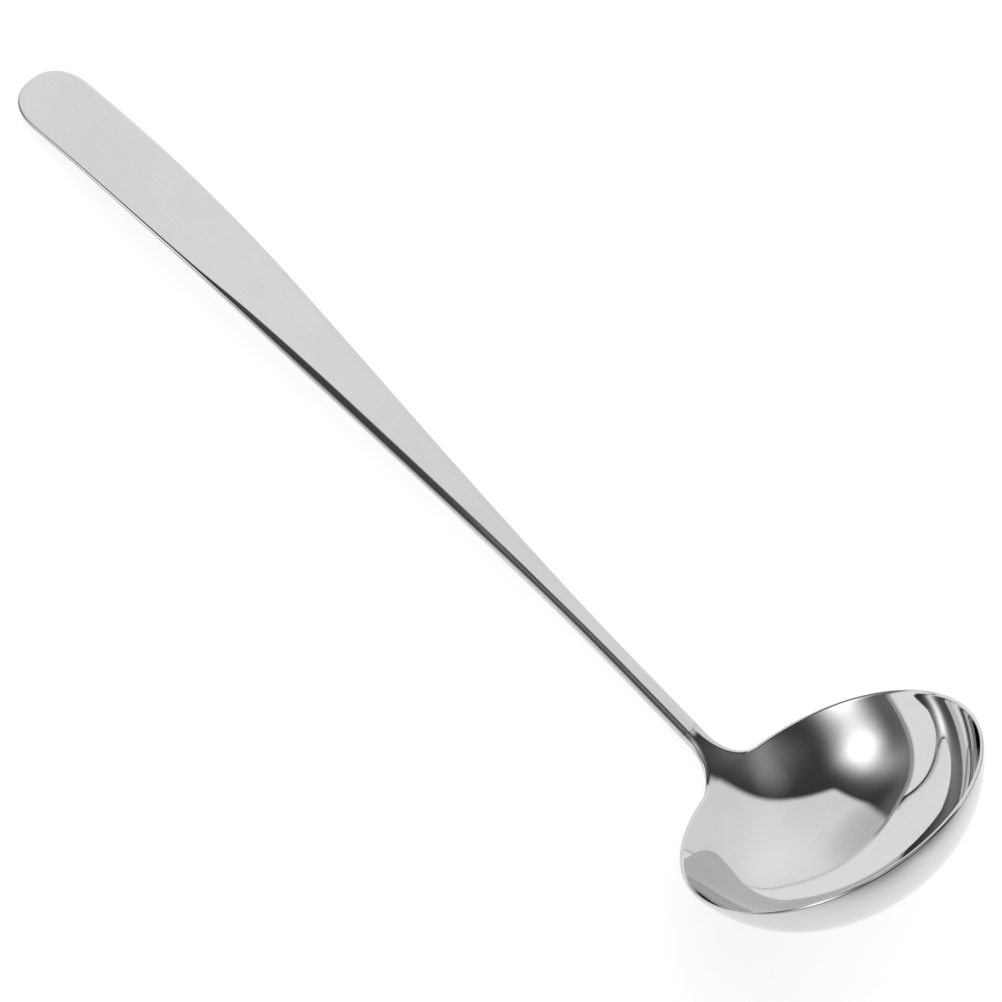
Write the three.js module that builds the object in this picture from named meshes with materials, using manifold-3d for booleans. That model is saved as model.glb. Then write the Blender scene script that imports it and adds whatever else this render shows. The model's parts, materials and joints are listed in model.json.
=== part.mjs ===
// A soup ladle of polished stainless steel, lying on its back on a table.
// Millimetres, +Z up, +X from the bowl to the tip of the handle, mirrored in the plane Y = 0.
// Origin: middle of the box that the ladle fills, on the table.

import * as THREE from 'three';
import { mergeVertices } from 'three/addons/utils/BufferGeometryUtils.js';
import Module from 'manifold-3d';

// Bowl: pressed from sheet steel with a flat crown and a rounder wall, cut level at its rim. The crown's
// radius is that of the middle of the sheet, and the slopes are those at the crown's edge and at the rim
const rimDiameter = 82;
const crownRadius = 57.2;
const crownSlope = THREE.MathUtils.degToRad(23.2);
const rimSlope = THREE.MathUtils.degToRad(73.2);
const bowlWall = 1;

// Throat: the tongue of the pressing that climbs from the rim to the weld, thickening on the way
const throatReach = 5.45;
const throatRise = 12.3;
const throatFilletAlong = 11;
const throatFilletAcross = 7.8;

// Neck: the section that throat, weld and handle share
const neckWidth = 5.9;
const neckThickness = 3.2;
const weldLength = 1.2;

// Handle: a straight shank, a long gentle bend and a flat round-ended paddle
const handlePitch = THREE.MathUtils.degToRad(58.4);
const shankLength = 147.5;
const bendRadius = 353;
const bendAngle = THREE.MathUtils.degToRad(12.8);
const paddleFlat = 16.8;
const paddleWidth = 20.2;
const paddleThickness = 1.4;

// Where the handle widens and where it thins, measured from the weld
const wideningStart = 20;
const wideningLength = 192;
const thinningStart = 124;
const thinningLength = 72;

// Round nose of the paddle: a superellipse that stops short at a narrow land
const noseLength = 12;
const noseFullness = 2.3;
const noseLand = 0.2;

// Rolled edges of the handle: width of an edge over half the thickness
const edgeRoundness = 1.35;

// Fineness of the facets
const bowlSides = 72;
const crownRings = 5;
const wallRings = 9;
const throatRings = 8;
const handleSides = 16;
const handleRings = 44;
const filletFacets = 8;

// How far a cutting solid reaches past what it cuts, and how far it stands off the faces that it leaves
const cutMargin = 3;
const faceAllowance = 0.2;

// Side view of the bowl, in the plane Y = 0: x outwards from the axis, y up from the rim. The wall is the
// arc that runs on from the crown and reaches the rim at the right slope
const along = (angle) => new THREE.Vector2(Math.cos(angle), Math.sin(angle));
const outwards = (slope) => along(slope - Math.PI / 2);
const rimRadius = rimDiameter / 2;
const rimMiddle = new THREE.Vector2(rimRadius - bowlWall / (2 * Math.sin(rimSlope)), 0);
const crownReach = crownRadius * Math.sin(crownSlope);
const wallRadius = (rimMiddle.x - crownReach) / (Math.sin(rimSlope) - Math.sin(crownSlope));
const wallCentre = rimMiddle.clone().addScaledVector(outwards(rimSlope), -wallRadius);
const crownCentre = wallCentre.clone().addScaledVector(outwards(crownSlope), wallRadius - crownRadius);
const bowlBottom = crownCentre.clone().addScaledVector(outwards(0), crownRadius);

// Side view of the throat: it leaves the rim along the wall and meets the weld along the handle
const neckPoint = new THREE.Vector2(rimRadius + throatReach, throatRise);
const throatPull = rimMiddle.distanceTo(neckPoint) / 3;
const throatLine = new THREE.CubicBezierCurve(
  rimMiddle,
  rimMiddle.clone().addScaledVector(along(rimSlope), throatPull),
  neckPoint.clone().addScaledVector(along(handlePitch), -throatPull),
  neckPoint,
);

// Side view of the handle, from the end of the weld to the tip
const shankStart = neckPoint.clone().addScaledVector(along(handlePitch), weldLength);
const shankEnd = shankStart.clone().addScaledVector(along(handlePitch), shankLength);
const bendCentre = shankEnd.clone().addScaledVector(outwards(handlePitch), bendRadius);
const paddlePitch = handlePitch - bendAngle;
const paddleStart = bendCentre.clone().addScaledVector(outwards(paddlePitch), -bendRadius);
const tip = paddleStart.clone().addScaledVector(along(paddlePitch), paddleFlat);
const bendLength = bendRadius * bendAngle;
const handleLength = shankLength + bendLength + paddleFlat;

// Point and slope of the handle's middle line at a distance from its start
function handleLine(distance) {
  if (distance <= shankLength) {
    return { point: shankStart.clone().addScaledVector(along(handlePitch), distance), slope: handlePitch };
  }
  const bent = distance - shankLength;
  if (bent <= bendLength) {
    const slope = handlePitch - bent / bendRadius;
    return { point: bendCentre.clone().addScaledVector(outwards(slope), -bendRadius), slope };
  }
  const flat = bent - bendLength;
  return { point: paddleStart.clone().addScaledVector(along(paddlePitch), flat), slope: paddlePitch };
}

function smoothBetween(from, to, share) {
  return THREE.MathUtils.lerp(from, to, THREE.MathUtils.smoothstep(share, 0, 1));
}

// Half width of the handle, drawn in to a round nose at the tip
function handleHalfWidth(distance) {
  const half = smoothBetween(neckWidth, paddleWidth, (distance - wideningStart) / wideningLength) / 2;
  const toTip = Math.min((handleLength - distance + noseLand) / noseLength, 1);
  return half * (1 - (1 - toTip) ** noseFullness) ** (1 / noseFullness);
}

function handleHalfThickness(distance) {
  const share = (distance - thinningStart) / thinningLength;
  return smoothBetween(neckThickness, paddleThickness, share) / 2;
}

// Solids for cutting and joining
const wasm = await Module();
wasm.setup();

function solidOf(geometry) {
  const bare = geometry.clone();
  bare.deleteAttribute('normal');
  bare.deleteAttribute('uv');
  const merged = mergeVertices(bare);
  const triangles = [];
  for (let corner = 0; corner < merged.index.count; corner += 3) {
    const [a, b, c] = [0, 1, 2].map((step) => merged.index.getX(corner + step));
    if (a !== b && b !== c && c !== a) triangles.push(a, b, c);
  }
  return new wasm.Manifold(new wasm.Mesh({
    numProp: 3,
    vertProperties: new Float32Array(merged.attributes.position.array),
    triVerts: new Uint32Array(triangles),
  }));
}

function geometryOf(solid) {
  const mesh = solid.getMesh();
  const geometry = new THREE.BufferGeometry();
  geometry.setAttribute('position', new THREE.BufferAttribute(mesh.vertProperties, mesh.numProp));
  geometry.setIndex(new THREE.BufferAttribute(mesh.triVerts, 1));
  geometry.computeVertexNormals();
  return geometry;
}

// Bowl and throat: the untrimmed pressing has a flange all round, and the trim keeps the bowl below the rim
// and one tongue of the flange
function pressing() {
  const outer = [new THREE.Vector2(0, bowlBottom.y - bowlWall / 2)];
  const inner = [new THREE.Vector2(0, bowlBottom.y + bowlWall / 2)];
  const addPair = (point, slope, halfThickness) => {
    outer.push(point.clone().addScaledVector(outwards(slope), halfThickness));
    inner.push(point.clone().addScaledVector(outwards(slope), -halfThickness));
  };
  for (let ring = 1; ring <= crownRings; ring += 1) {
    const slope = crownSlope * ring / crownRings;
    addPair(crownCentre.clone().addScaledVector(outwards(slope), crownRadius), slope, bowlWall / 2);
  }
  for (let ring = 1; ring <= wallRings; ring += 1) {
    const slope = THREE.MathUtils.lerp(crownSlope, rimSlope, ring / wallRings);
    addPair(wallCentre.clone().addScaledVector(outwards(slope), wallRadius), slope, bowlWall / 2);
  }
  for (let ring = 1; ring <= throatRings; ring += 1) {
    const share = ring / throatRings;
    const tangent = throatLine.getTangent(share);
    addPair(throatLine.getPoint(share), tangent.angle(), smoothBetween(bowlWall, neckThickness, share) / 2);
  }
  const flangeEnd = neckPoint.clone().addScaledVector(along(handlePitch), cutMargin);
  addPair(flangeEnd, handlePitch, neckThickness / 2);
  const profile = [...outer, ...inner.reverse()];
  return new THREE.LatheGeometry(profile, bowlSides).rotateX(Math.PI / 2);
}

// A bar with flat faces and rolled edges, bent along a line: a closed cylinder whose rings are reshaped
function rolledBar(rings, sectionAt) {
  const bar = new THREE.CylinderGeometry(1, 1, 1, handleSides, rings, false, Math.PI / handleSides);
  const crown = Math.cos(Math.PI / handleSides);
  const position = bar.attributes.position;
  for (let index = 0; index < position.count; index += 1) {
    const [up, share, side] = [position.getX(index), position.getY(index) + 0.5, position.getZ(index)];
    const { point, slope, halfWidth, halfThickness } = sectionAt(share);
    const edge = Math.min(edgeRoundness * halfThickness, halfWidth);
    const across = Math.sign(side) * (halfWidth - edge) + side * edge;
    const place = point.clone().addScaledVector(outwards(slope), -up * halfThickness / crown);
    position.setXYZ(index, place.x, across, place.y);
  }
  bar.computeVertexNormals();
  return bar;
}

// The tongue that the trim keeps, as a bar along the shank's line: wide where its fillets run out on the
// rim, and at the weld the section of the neck with a little to spare over the faces
function tongueCutter() {
  const half = neckWidth / 2;
  const wide = half + throatFilletAcross;
  const rimUnderFillet = new THREE.Vector2(Math.sqrt(rimMiddle.x ** 2 - wide ** 2), 0);
  const filletStart = rimUnderFillet.sub(neckPoint).dot(along(handlePitch));
  const stations = [{ at: filletStart - cutMargin, halfWidth: wide }];
  for (let facet = 0; facet <= filletFacets; facet += 1) {
    const turn = facet / filletFacets * Math.PI / 2;
    stations.push({
      at: filletStart + throatFilletAlong * (1 - Math.cos(turn)),
      halfWidth: wide - throatFilletAcross * Math.sin(turn),
    });
  }
  stations.push({ at: 0, halfWidth: half });
  return rolledBar(stations.length - 1, (share) => {
    const { at, halfWidth } = stations[Math.round(share * (stations.length - 1))];
    return {
      point: neckPoint.clone().addScaledVector(along(handlePitch), at),
      slope: handlePitch,
      halfWidth,
      halfThickness: THREE.MathUtils.lerp(neckThickness / 2 + faceAllowance, throatReach, at / filletStart),
    };
  });
}

function bowlGeometry() {
  const across = 2 * (rimDiameter + throatReach);
  const height = bowlWall / 2 - bowlBottom.y + cutMargin;
  const belowRim = new THREE.BoxGeometry(across, across, height).translate(0, 0, -height / 2);
  const kept = solidOf(belowRim).add(solidOf(tongueCutter()));
  return geometryOf(solidOf(pressing()).intersect(kept));
}

function weldGeometry() {
  return rolledBar(1, (share) => ({
    point: neckPoint.clone().lerp(shankStart, share),
    slope: handlePitch,
    halfWidth: neckWidth / 2,
    halfThickness: neckThickness / 2,
  }));
}

// The rings crowd towards the tip, where the nose is round
function handleGeometry() {
  return rolledBar(handleRings, (share) => {
    const distance = handleLength * (1 - (1 - share) ** 2);
    return {
      ...handleLine(distance),
      halfWidth: handleHalfWidth(distance),
      halfThickness: handleHalfThickness(distance),
    };
  });
}

function steelPiece(name, geometry, color, roughness) {
  const steel = new THREE.MeshStandardMaterial({ color, roughness, metalness: 1 });
  const piece = new THREE.Mesh(geometry, steel);
  piece.name = name;
  return piece;
}

// The ladle stands with its rim level here, and is then laid down on the back of its bowl and its tip
const ladle = new THREE.Group();
ladle.add(
  steelPiece('bowl', bowlGeometry(), 0xd2d2d2, 0.06),
  steelPiece('neck_weld', weldGeometry(), 0xcbcbcb, 0.14),
  steelPiece('handle', handleGeometry(), 0xd3d3d3, 0.09),
);
const tipBack = tip.clone().addScaledVector(outwards(paddlePitch), paddleThickness / 2);
const bowlToTip = tipBack.sub(wallCentre);
ladle.rotation.y = bowlToTip.angle() + Math.asin((wallRadius + bowlWall / 2) / bowlToTip.length());

const box = new THREE.Box3().setFromObject(ladle, true);
const middle = box.getCenter(new THREE.Vector3());
ladle.position.set(-middle.x, -middle.y, -box.min.z);

export default ladle;
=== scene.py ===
# A soup ladle of mirror-polished stainless steel, lying on a pale table in soft studio light.
# Every piece is drawn in millimetres with the rim of the bowl level, x towards the handle and z up the
# bowl's axis, and is then laid down into its place on the table, in metres.

import json
import math

import bmesh
import bpy
from mathutils import Matrix, Vector, geometry, kdtree


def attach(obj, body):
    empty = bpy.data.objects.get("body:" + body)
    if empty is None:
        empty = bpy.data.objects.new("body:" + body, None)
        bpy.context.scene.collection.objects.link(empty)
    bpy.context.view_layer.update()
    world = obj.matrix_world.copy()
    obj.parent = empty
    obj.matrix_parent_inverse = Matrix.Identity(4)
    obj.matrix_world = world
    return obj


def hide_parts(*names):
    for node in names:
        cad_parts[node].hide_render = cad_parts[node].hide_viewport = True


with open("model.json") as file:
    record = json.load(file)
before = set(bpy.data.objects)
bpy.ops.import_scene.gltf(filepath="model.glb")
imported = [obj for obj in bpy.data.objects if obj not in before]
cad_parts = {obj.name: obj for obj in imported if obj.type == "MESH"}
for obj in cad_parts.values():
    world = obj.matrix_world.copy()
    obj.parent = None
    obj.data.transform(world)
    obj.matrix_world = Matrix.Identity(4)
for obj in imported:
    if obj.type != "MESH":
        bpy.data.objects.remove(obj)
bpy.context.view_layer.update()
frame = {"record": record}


# Bowl
# Pressed from one disc of stainless steel sheet: a flat crown and a rounder wall, trimmed level at the
# rim. The trim leaves a tongue standing on the rim, the throat, which climbs to the weld and thickens on
# the way. Drawing the throat out has flared the wall on both sides of it.
rim_radius = 41
crown_radius = 57.2
crown_slope = math.radians(23.2)
rim_slope = math.radians(73.2)
rim_crest = 0.25
bowl_wall = 1
rim_edge = 0.8
flare_rate = 0.38
flare_depth = 22
flare_at_throat = 0.3
flare_growth = math.radians(30)
flare_full = math.radians(40)
flare_end = math.radians(95)
throat_reach = 5.45
throat_rise = 12.3
throat_fillet_along = 11
throat_fillet_across = 7.8
neck_width = 5.9
neck_thickness = 3.2
neck_edge = 2.16
handle_pitch = math.radians(58.4)


def pitched(pitch):
    """Direction in the side view that climbs away from the bowl's axis at a pitch."""
    return Vector((math.cos(pitch), 0, math.sin(pitch)))


def outwards(slope):
    """Direction in the side view that leaves the outside of the bowl squarely where it has a slope."""
    return pitched(slope - math.pi / 2)


rim_middle = rim_radius - bowl_wall / (2 * math.sin(rim_slope))
crown_reach = crown_radius * math.sin(crown_slope)
wall_radius = (rim_middle - crown_reach) / (math.sin(rim_slope) - math.sin(crown_slope))
wall_centre = Vector((rim_middle, 0, 0)) - outwards(rim_slope) * wall_radius
crown_centre = wall_centre - outwards(crown_slope) * (crown_radius - wall_radius)
crest_slope = rim_slope + rim_crest / wall_radius
rim_point = wall_centre + outwards(crest_slope) * wall_radius
throat_pitch = math.atan2(1, 1 / math.tan(crest_slope) + flare_rate * flare_at_throat)
neck_point = Vector((rim_radius + throat_reach, 0, throat_rise))
shank_direction = pitched(handle_pitch)
tongue_half = neck_width / 2 + throat_fillet_across


def smooth_step(share):
    share = min(max(share, 0), 1)
    return share * share * (3 - 2 * share)


# Columns across a sheet: even over its flat, then crowding to the edge as an elliptical roll needs
flat_columns = 6
last_flat_column = 0.97
edge_columns = 9
widest_edge = 0.9
right_columns = [(step / flat_columns, 0) for step in range(1, flat_columns)]
right_columns += [(last_flat_column, 0), (1, 0)]
right_columns += [(1, math.sin(math.pi / 2 * step / edge_columns)) for step in range(1, edge_columns + 1)]
columns = [(-flat, -rolled) for flat, rolled in reversed(right_columns)] + [(0, 0)] + right_columns


def column_place(column, half_width, edge):
    """How far a column lies to the side of the middle line."""
    flat, rolled = column
    edge = min(edge, widest_edge * half_width)
    return flat * (half_width - edge) + rolled * edge


def swing(mesh, geom, centre, axis, turns):
    """Sweep points or lines about an axis, one step for each turn."""
    for turn in turns:
        geom = bmesh.ops.spin(mesh, geom=geom, cent=centre, axis=axis, angle=turn, steps=1)["geom_last"]
    return geom


def new_sheet():
    mesh = bmesh.new()
    mesh.verts.layers.float.new("half_thickness")
    mesh.verts.layers.float.new("edge_width")
    mesh.verts.layers.float.new("edge_bevel")
    return mesh


def plate_layers(mesh):
    layers = mesh.verts.layers.float
    return layers["half_thickness"], layers["edge_width"], layers["edge_bevel"]


def lay_sheet(mesh, rows, place):
    """A sheet of quads: place gives a row and column its point, half thickness, edge width and bevel."""
    last_row = len(rows) - 1
    last_column = len(columns) - 1
    grid = bmesh.ops.create_grid(mesh, x_segments=last_row, y_segments=last_column, size=1)
    half_thickness, edge_width, edge_bevel = plate_layers(mesh)
    for vert in grid["verts"]:
        row = rows[round((vert.co.x + 1) / 2 * last_row)]
        column = columns[round((vert.co.y + 1) / 2 * last_column)]
        vert.co, vert[half_thickness], vert[edge_width], vert[edge_bevel] = place(row, column)


edges_compared = 6


def distance_to_edges(mesh, edges):
    """How far each point of a sheet lies from its nearest edge line."""
    tree = kdtree.KDTree(len(edges))
    for index, edge in enumerate(edges):
        tree.insert((edge.verts[0].co + edge.verts[1].co) / 2, index)
    tree.balance()
    distances = {}
    for vert in mesh.verts:
        gaps = []
        for _, index, _ in tree.find_n(vert.co, edges_compared):
            start, end = (corner.co for corner in edges[index].verts)
            _, share = geometry.intersect_point_line(vert.co, start, end)
            gaps.append((vert.co - start.lerp(end, min(max(share, 0), 1))).length)
        distances[vert] = min(gaps)
    return distances


# A rolled edge falls away as an ellipse, and a bevelled one slants down to a blunt side
merge_reach = 0.0005
cut_reach = 0.005
roll_power = 2
bevel_power = 8
bevel_slant = 0.6


def thicken(mesh, cuts):
    """Turn a sheet into a plate with rolled or bevelled free edges and flat ends at the cuts."""
    half_thickness, edge_width, edge_bevel = plate_layers(mesh)
    bmesh.ops.remove_doubles(mesh, verts=mesh.verts, dist=merge_reach)
    bmesh.ops.recalc_face_normals(mesh, faces=mesh.faces)
    mesh.normal_update()

    def at_a_cut(vert):
        along = (vert.co - neck_point).dot(shank_direction)
        return any(abs(along - cut) < cut_reach for cut in cuts)

    free_edges = [
        edge for edge in mesh.edges
        if edge.is_boundary and not (at_a_cut(edge.verts[0]) and at_a_cut(edge.verts[1]))
    ]
    offsets = {}
    for vert, distance in distance_to_edges(mesh, free_edges).items():
        inward = 1 - min(distance / vert[edge_width], 1)
        slanted = 1 - bevel_slant * vert[edge_bevel] * inward
        power = roll_power + (bevel_power - roll_power) * vert[edge_bevel]
        offsets[vert] = vert.normal * vert[half_thickness] * slanted * math.sqrt(1 - inward ** power)
    front = mesh.faces[:]
    twins = bmesh.ops.duplicate(mesh, geom=mesh.verts[:] + mesh.edges[:] + front)["vert_map"]
    for vert, offset in offsets.items():
        twins[vert].co -= offset
        vert.co += offset
    bmesh.ops.reverse_faces(mesh, faces=front)
    bmesh.ops.remove_doubles(mesh, verts=mesh.verts, dist=merge_reach)
    for face in mesh.faces:
        face.smooth = True
    ends = bmesh.ops.holes_fill(mesh, edges=[edge for edge in mesh.edges if edge.is_boundary])["faces"]
    for face in ends:
        for edge in face.edges:
            edge.smooth = False
    bmesh.ops.recalc_face_normals(mesh, faces=mesh.faces)
    for layer in plate_layers(mesh):
        mesh.verts.layers.float.remove(layer)


# The ladle lies on the back of its bowl and on the tip of its handle
lying_turn = math.radians(56.18655)
rim_centre = Vector((-0.124765, 0, 0.035525))
millimetre = 0.001
lying_place = Matrix.Translation(rim_centre) @ Matrix.Rotation(lying_turn, 4, "Y")
laid_down = lying_place @ Matrix.Scale(millimetre, 4)


def finished_piece(name, mesh, material):
    """Lay a mesh down in its place on the table and make it an object."""
    bmesh.ops.transform(mesh, matrix=laid_down, verts=mesh.verts)
    data = bpy.data.meshes.new(name)
    mesh.to_mesh(data)
    mesh.free()
    data.materials.append(material)
    piece = bpy.data.objects.new(name, data)
    bpy.context.scene.collection.objects.link(piece)
    return piece


class Signal:
    """A socket in plain arithmetic: each operator adds its Math node to the socket's tree."""

    def __init__(self, socket):
        self.socket = socket

    def node(self, kind, settings, inputs, output=0):
        """Add a node of a kind, with its settings first and then its values or links."""
        tree = self.socket.id_data
        made = tree.nodes.new(kind)
        for name, value in settings.items():
            setattr(made, name, value)
        for name, value in inputs.items():
            if isinstance(value, Signal):
                tree.links.new(value.socket, made.inputs[name])
            else:
                made.inputs[name].default_value = value
        return Signal(made.outputs[output])

    def math(self, operation, first, second):
        return self.node("ShaderNodeMath", {"operation": operation}, {0: first, 1: second})

    def __add__(self, other):
        return self.math("ADD", self, other)

    def __sub__(self, other):
        return self.math("SUBTRACT", self, other)

    def __rsub__(self, other):
        return self.math("SUBTRACT", other, self)

    def __mul__(self, other):
        return self.math("MULTIPLY", self, other)

    def __pow__(self, other):
        return self.math("POWER", self, other)

    __radd__ = __add__
    __rmul__ = __mul__

    def above_zero(self):
        return self.math("MAXIMUM", self, 0)

    def without_sign(self):
        return self.math("ABSOLUTE", self, 0)

    def fade(self, start, end):
        """0 at start, 1 at end, smooth between them."""
        bounds = {"Value": self, "From Min": start, "From Max": end}
        return self.node("ShaderNodeMapRange", {"interpolation_type": "SMOOTHSTEP"}, bounds)

    def noise(self, scale, detail):
        """Cloudy noise over a place, from 0 to 1."""
        return self.node("ShaderNodeTexNoise", {}, {"Vector": self, "Scale": scale, "Detail": detail})

    def between(self, dark, bright):
        """Colour that goes from dark at 0 to bright at 1; sockets 6, 7 and 2 are the Mix node's colours."""
        colours = {"Factor": self, 6: (*dark, 1), 7: (*bright, 1)}
        return self.node("ShaderNodeMix", {"data_type": "RGBA"}, colours, 2)

    def feed(self, socket):
        self.socket.id_data.links.new(self.socket, socket)


steel_contrast = 0.03
haze_scale = 55
haze_share = 0.6
clean_roughness = 0.03
line_roughness = 0.03
haze_roughness = 0.03
ripple_scale = 38
ripple_strength = 0.6
ripple_depth = 0.00001
line_depth = 0.02


def polished_steel(name, slot, turn, stretch):
    """Mirror-polished stainless steel, with buffing lines, a faint haze and a slight ripple."""
    material = bpy.data.materials.new(name)
    material.use_nodes = True
    nodes = material.node_tree.nodes
    shader = nodes["Principled BSDF"]
    grey = next(entry["base_color"] for entry in frame["record"]["materials"] if entry["slot"] == slot)
    dark = [shade * (1 - steel_contrast) for shade in grey[:3]]
    bright = [shade * (1 + steel_contrast) for shade in grey[:3]]
    place = Signal(nodes.new("ShaderNodeTexCoord").outputs["Object"])
    buffed = place.node("ShaderNodeMapping", {}, {"Vector": place, "Rotation": turn, "Scale": stretch})
    lines = buffed.noise(1, 3)
    haze = place.noise(haze_scale, 4)
    ripple = place.noise(ripple_scale, 1)
    tint = haze.fade(0.3, 0.7) * haze_share + lines.fade(0.45, 0.75) * (1 - haze_share)
    tint.between(dark, bright).feed(shader.inputs["Base Color"])
    roughness = clean_roughness + lines.fade(0.5, 0.8) * line_roughness
    roughness += haze.fade(0.45, 0.8) * haze_roughness
    roughness.feed(shader.inputs["Roughness"])
    height = ripple + lines * line_depth
    relief = {"Strength": ripple_strength, "Distance": ripple_depth, "Height": height}
    place.node("ShaderNodeBump", {}, relief).feed(shader.inputs["Normal"])
    shader.inputs["Metallic"].default_value = 1
    return material


def throat_point(share):
    """Point on the middle line of the throat, from the rim at 0 to the weld at 1."""
    pull = (neck_point - rim_point).length / 3
    above_rim = rim_point + pitched(throat_pitch) * pull
    below_neck = neck_point - shank_direction * pull
    points = [rim_point, above_rim, below_neck, neck_point]
    while len(points) > 1:
        points = [start.lerp(end, share) for start, end in zip(points, points[1:])]
    return points[0]


def throat_place(share, column):
    """A point of the throat's sheet, dished like the bowl at the rim and flat at the weld."""
    middle = throat_point(share)
    grown = smooth_step(share)
    climbed = min((middle - rim_point).length / throat_fillet_along, 1)
    half_width = tongue_half - throat_fillet_across * math.sqrt(1 - (1 - climbed) ** 2)
    half_thickness = (bowl_wall + (neck_thickness - bowl_wall) * grown) / 2
    edge = rim_edge + (neck_edge - rim_edge) * grown
    side = column_place(column, half_width, edge)
    dished = middle.x - math.sqrt(middle.x ** 2 - side ** 2)
    return Vector((middle.x - dished * (1 - grown), side, middle.z)), half_thickness, edge, 0


# The meridian starts as one point at the bottom, and its last rows crowd to the rim for the rolled edge
crown_rows = 24
wall_rows = 40
rim_rows = 9
round_columns = 210
throat_rows = 30
throat_crowding = 1.6
rim_turn = rim_edge / wall_radius
wall_turn = crest_slope - crown_slope - rim_turn
rim_marks = [rim_turn * math.sin(math.pi / 2 * row / rim_rows) for row in range(rim_rows + 1)]
rim_turns = [after - before for before, after in zip(rim_marks, rim_marks[1:])]
bowl_mesh = new_sheet()
bottom = bowl_mesh.verts.new(crown_centre - Vector((0, 0, crown_radius)))
crown_end = swing(bowl_mesh, [bottom], crown_centre, (0, -1, 0), [crown_slope / crown_rows] * crown_rows)
wall_end = swing(bowl_mesh, crown_end, wall_centre, (0, -1, 0), [wall_turn / wall_rows] * wall_rows)
swing(bowl_mesh, wall_end, wall_centre, (0, -1, 0), rim_turns)

# The columns under the throat are the throat's own, so that its sheet joins the rim point to point
rim_sides = [column_place(column, tongue_half, rim_edge) for column in columns]
throat_angles = [math.asin(side / rim_point.x) for side in rim_sides]
round_turns = [after - before for before, after in zip(throat_angles, throat_angles[1:])]
round_turns += [(2 * math.pi - sum(round_turns)) / round_columns] * round_columns
first_turn = Matrix.Rotation(throat_angles[0], 3, "Z")
bmesh.ops.rotate(bowl_mesh, verts=bowl_mesh.verts, cent=(0, 0, 0), matrix=first_turn)
swing(bowl_mesh, bowl_mesh.verts[:] + bowl_mesh.edges[:], (0, 0, 0), (0, 0, 1), round_turns)

# The flare draws the wall in below the rim, so that it leans out more towards the rim
for vert in bowl_mesh.verts:
    around = abs(math.atan2(vert.co.y, vert.co.x))
    down = min(max((rim_point.z - vert.co.z) / flare_depth, 0), 1)
    spread = smooth_step((flare_end - around) / (flare_end - flare_full))
    spread *= flare_at_throat + (1 - flare_at_throat) * smooth_step(around / flare_growth)
    drawn_in = flare_rate * flare_depth * down * (1 - down) ** 2 * spread
    vert.co -= Vector((vert.co.x, vert.co.y, 0)).normalized() * drawn_in

wall_thickness, wall_edge, _ = plate_layers(bowl_mesh)
for vert in bowl_mesh.verts:
    vert[wall_thickness] = bowl_wall / 2
    vert[wall_edge] = rim_edge
throat_shares = [(row / throat_rows) ** throat_crowding for row in range(throat_rows + 1)]
lay_sheet(bowl_mesh, throat_shares, throat_place)
thicken(bowl_mesh, [0])

bowl_steel = polished_steel("bowl steel", "bowl_steel", (0, -lying_turn, 0), (60, 60, 2200))
bowl = finished_piece("bowl_shell", bowl_mesh, bowl_steel)
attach(bowl, "root")
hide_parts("bowl")


# Neck weld
# The butt weld that joins the throat to the handle. The bead is ground down flush and polished, so that
# only a band of slightly different metal is left.
weld_length = 1.2
weld_rise = 0.012
weld_rows = 6


def weld_place(share, column):
    bulge = weld_rise * math.sin(math.pi * share)
    side = column_place(column, neck_width / 2 + bulge, neck_edge)
    middle = neck_point + shank_direction * weld_length * share
    return middle + Vector((0, side, 0)), neck_thickness / 2 + bulge, neck_edge, 0


weld_mesh = new_sheet()
lay_sheet(weld_mesh, [row / weld_rows for row in range(weld_rows + 1)], weld_place)
thicken(weld_mesh, [0, weld_length])

weld_steel = polished_steel("weld steel", "weld_steel", (0, 0, 0), (1500, 90, 90))
weld = finished_piece("weld_band", weld_mesh, weld_steel)
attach(weld, "root")
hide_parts("neck_weld")


# Handle
# A bar of stainless steel, thick and narrow at the weld, rolled out thin and wide towards its end, where it
# bends back gently into a flat paddle with a round nose. Its edges are bevelled along the shank and rolled
# at the neck and around the paddle.
shank_length = 147.5
bend_radius = 353
bend_angle = math.radians(12.8)
paddle_flat = 16.8
paddle_width = 20.2
paddle_thickness = 1.4
widening_start = 20
widening_length = 192
thinning_start = 124
thinning_length = 72
nose_length = 12
nose_fullness = 2.3
bevel_start = 40
bevel_growth = 55
bevel_end = 190
bevel_fading = 60
shank_rows = 60
bend_rows = 70
nose_rows = 26

bend_length = bend_radius * bend_angle
handle_length = shank_length + bend_length + paddle_flat
handle_start = neck_point + shank_direction * weld_length


def handle_point(distance):
    """Point on the handle's middle line at a distance from the weld."""
    straight = min(distance, shank_length)
    turned = min(max(distance - shank_length, 0), bend_length) / bend_radius
    flat = max(distance - shank_length - bend_length, 0)
    shank_end = handle_start + shank_direction * straight
    bend_centre = shank_end + pitched(handle_pitch - math.pi / 2) * bend_radius
    bent = bend_centre + pitched(handle_pitch - turned + math.pi / 2) * bend_radius
    return bent + pitched(handle_pitch - turned) * flat


def handle_place(distance, column):
    """A point of the handle's sheet, with the thickness, edge and bevel that the bar has there."""
    widened = smooth_step((distance - widening_start) / widening_length)
    to_tip = min((handle_length - distance) / nose_length, 1)
    nose = (1 - (1 - to_tip) ** nose_fullness) ** (1 / nose_fullness)
    half_width = (neck_width + (paddle_width - neck_width) * widened) / 2 * nose
    thinned = smooth_step((distance - thinning_start) / thinning_length)
    half_thickness = (neck_thickness + (paddle_thickness - neck_thickness) * thinned) / 2
    edge = neck_edge / neck_thickness * 2 * half_thickness
    side = column_place(column, half_width, edge)
    bevel = smooth_step((distance - bevel_start) / bevel_growth)
    bevel *= smooth_step((bevel_end - distance) / bevel_fading)
    return handle_point(distance) + Vector((0, side, 0)), half_thickness, edge, bevel


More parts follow.
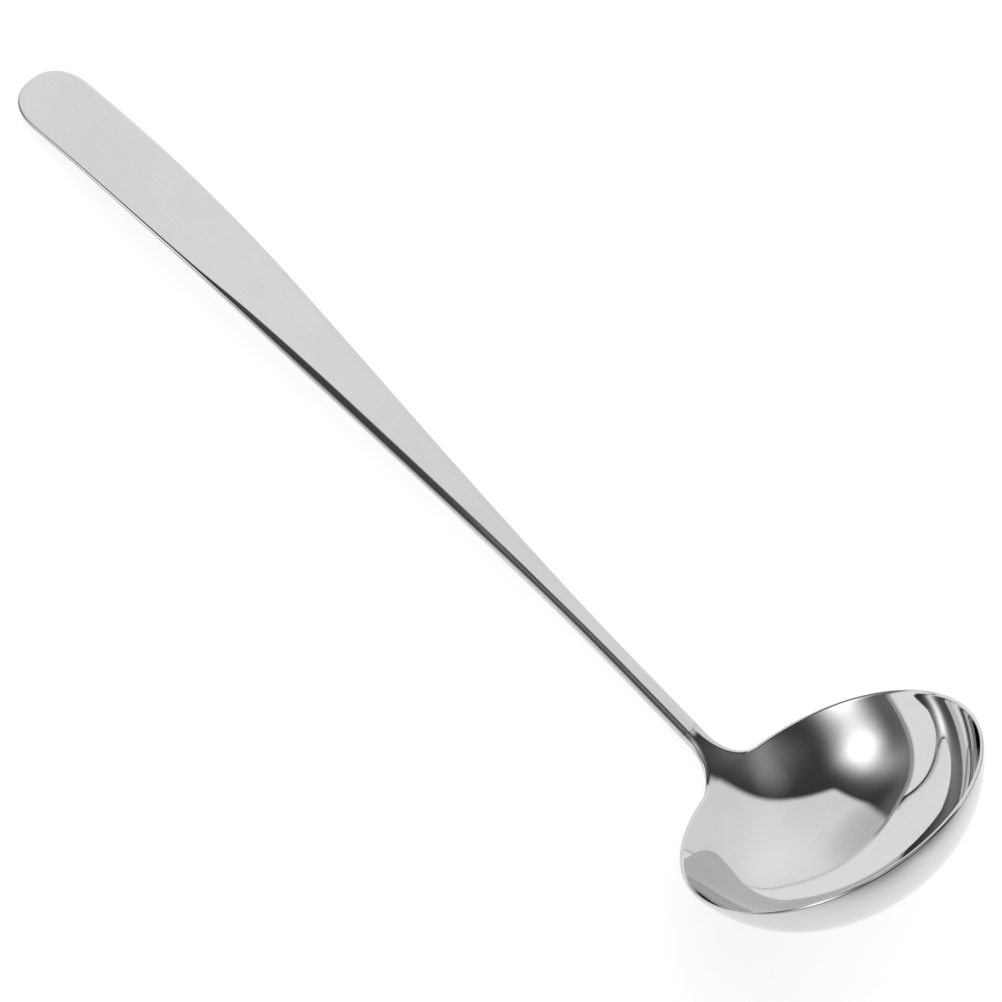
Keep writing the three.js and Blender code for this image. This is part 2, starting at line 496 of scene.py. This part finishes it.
nose_start = handle_length - nose_length
nose_shares = [math.sin(math.pi / 2 * row / nose_rows) for row in range(nose_rows + 1)]
handle_rows = [shank_length * row / shank_rows for row in range(shank_rows)]
handle_rows += [shank_length + (nose_start - shank_length) * row / bend_rows for row in range(bend_rows)]
handle_rows += [handle_length - nose_length * (1 - share) for share in nose_shares]
handle_mesh = new_sheet()
lay_sheet(handle_mesh, handle_rows, handle_place)
thicken(handle_mesh, [weld_length])

handle_steel = polished_steel("handle steel", "handle_steel", (0, 0, 0), (25, 1800, 1800))
handle = finished_piece("handle_bar", handle_mesh, handle_steel)
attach(handle, "root")
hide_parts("handle")


# Table
# A large sheet of matt white acrylic with a faint mottle, level with the lowest point of the ladle. Painted
# light glows from it: a soft square around the ladle, so that the ladle's shadow hardly shows, and more
# weakly a painted pool of light towards the white panel.
table_size = 12
dark_mottle = 0.55
bright_mottle = 0.57
mottle_scale = 6
matt_roughness = 0.9
# The values from here on set the painted light that the table glows with: a square round the ladle and a
# pool towards the panel
square_shift = 0.03
square_full = 0.22
square_end = 0.5
painted_square_strength = 0.64
panel_way = math.radians(-55)
painted_pool_start = -0.05
painted_pool_full = 0.1
painted_pool_strength = 0.4

table_mesh = bmesh.new()
bmesh.ops.create_grid(table_mesh, x_segments=4, y_segments=4, size=table_size / 2)
table_data = bpy.data.meshes.new("table")
table_mesh.to_mesh(table_data)
table_mesh.free()
table = bpy.data.objects.new("table", table_data)
bpy.context.scene.collection.objects.link(table)

acrylic = bpy.data.materials.new("white acrylic")
acrylic.use_nodes = True
acrylic_shader = acrylic.node_tree.nodes["Principled BSDF"]
table_place = Signal(acrylic.node_tree.nodes.new("ShaderNodeTexCoord").outputs["Object"])
mottle = table_place.noise(mottle_scale, 2)
mottle.between([dark_mottle] * 3, [bright_mottle] * 3).feed(acrylic_shader.inputs["Base Color"])
table_x, table_y = (table_place.node("ShaderNodeSeparateXYZ", {}, {0: table_place}, axis) for axis in "XY")
from_middle = table_x.without_sign() + (table_y + square_shift).without_sign()
painted_light_square = from_middle.fade(square_end, square_full)
to_panel = table_x * math.cos(panel_way) + table_y * math.sin(panel_way)
beside_way = (table_x * math.sin(panel_way) - table_y * math.cos(panel_way)).without_sign()
painted_panel_pool = (to_panel - beside_way).fade(painted_pool_start, painted_pool_full)
# Painted light: the emission paints a soft square of light round the ladle and a pool of light towards the
# panel
glow = painted_light_square * painted_square_strength + (1 - painted_light_square) * painted_panel_pool * painted_pool_strength
glow.feed(acrylic_shader.inputs["Emission Color"])
acrylic_shader.inputs["Emission Strength"].default_value = 1
acrylic_shader.inputs["Roughness"].default_value = matt_roughness
acrylic_shader.inputs["Specular IOR Level"].default_value = 0
table_data.materials.append(acrylic)


# Studio
# A tall white panel beside the ladle, a softbox and a window on the other side, a wall light, a ceiling
# lamp and a dim room. The panel's straight top edge and slanting side edge show in the steel, and the
# lamps as soft discs. A wide lamp over the table lights the table alone.
def towards(azimuth, elevation):
    """Direction in degrees: azimuth round from the handle's side, elevation up from the table."""
    across, up = math.radians(azimuth), math.radians(elevation)
    return Vector((math.cos(up) * math.cos(across), math.cos(up) * math.sin(across), math.sin(up)))


studio = bpy.data.worlds.new("studio")
bpy.context.scene.world = studio
studio.use_nodes = True
sky = studio.node_tree.nodes["Background"]
ray = Signal(studio.node_tree.nodes.new("ShaderNodeTexCoord").outputs["Generated"])


def along_ray(direction):
    """How far a ray goes in a direction: 1 straight along it, 0 square to it."""
    inputs = {0: ray, 1: direction}
    return ray.node("ShaderNodeVectorMath", {"operation": "DOT_PRODUCT"}, inputs, "Value")


def soft_lamp(azimuth, elevation, radius, strength):
    """A round glow in a direction, brightest in its middle, with its radius in degrees."""
    spread = 2 / math.radians(radius) ** 2
    return along_ray(towards(azimuth, elevation)).above_zero() ** spread * strength


panel_azimuth = -50.6
panel_height = 75.6
panel_top = towards(panel_azimuth, panel_height - 90)
panel_top_blur = 0.06
panel_side = towards(-0.6, 3).cross(towards(13.6, 35)).normalized()
panel_side_blur = 0.035
panel_mask = along_ray(panel_top).fade(-panel_top_blur, panel_top_blur)
panel_mask *= along_ray(panel_side).fade(-panel_side_blur, panel_side_blur)
panel_white = 0.93
panel_foot_shade = along_ray(towards(-5, 0)).fade(0.9, 1) * 0.25
panel_light = panel_white + soft_lamp(-50, 22, 28, 0.2) + soft_lamp(-58, 62, 15, 0.08) - panel_foot_shade

dim_room = 0.052
overhead = along_ray(towards(0, 90))
ceiling = soft_lamp(150, 76, 14, 0.25) + overhead.fade(0.96, 1) * 0.06
horizon = overhead.fade(0.22, 0) * 0.1
wall_light = soft_lamp(180, 48, 17, 0.6)
ceiling_lamp = soft_lamp(130, 56, 10, 2)
softbox = soft_lamp(65, 32, 12.8, 2.3) + soft_lamp(46, 30, 10, 0.57) + soft_lamp(40, 17, 15, 0.38)
window = soft_lamp(108, 17, 18, 2.1)
room_light = dim_room + ceiling + horizon + wall_light + ceiling_lamp + softbox + window
brightness = panel_mask * panel_light + (1 - panel_mask) * room_light
brightness.feed(sky.inputs["Color"])

table_lamp = bpy.data.lights.new("table lamp", "AREA")
table_lamp.shape = "DISK"
table_lamp.size = 3
table_lamp.energy = 10
table_lamp_object = bpy.data.objects.new("table lamp", table_lamp)
table_lamp_object.location = (0, 0, 2)
table_lamp_object.visible_glossy = False
bpy.context.scene.collection.objects.link(table_lamp_object)
bpy.context.scene.view_settings.view_transform = "Standard"


# Camera
# A long lens high above the table, to the side of the bowl. The handle runs up to the left of the picture,
# and the bowl lies at its lower right with the inside in view.
camera_data = bpy.data.cameras.new("camera")
camera_data.sensor_width = 36
camera_data.lens = 120.9
camera = bpy.data.objects.new("camera", camera_data)
camera_place = Vector((-0.11336, 0.33647, 0.79267))
camera_right = Vector((-0.70373, -0.67968, 0.20689))
camera_up = Vector((0.70082, -0.61626, 0.35926))
camera_back = camera_right.cross(camera_up)
camera_turn = Matrix((camera_right, camera_up, camera_back)).transposed().to_4x4()
camera.matrix_world = Matrix.Translation(camera_place) @ camera_turn
bpy.context.scene.collection.objects.link(camera)
bpy.context.scene.camera = camera
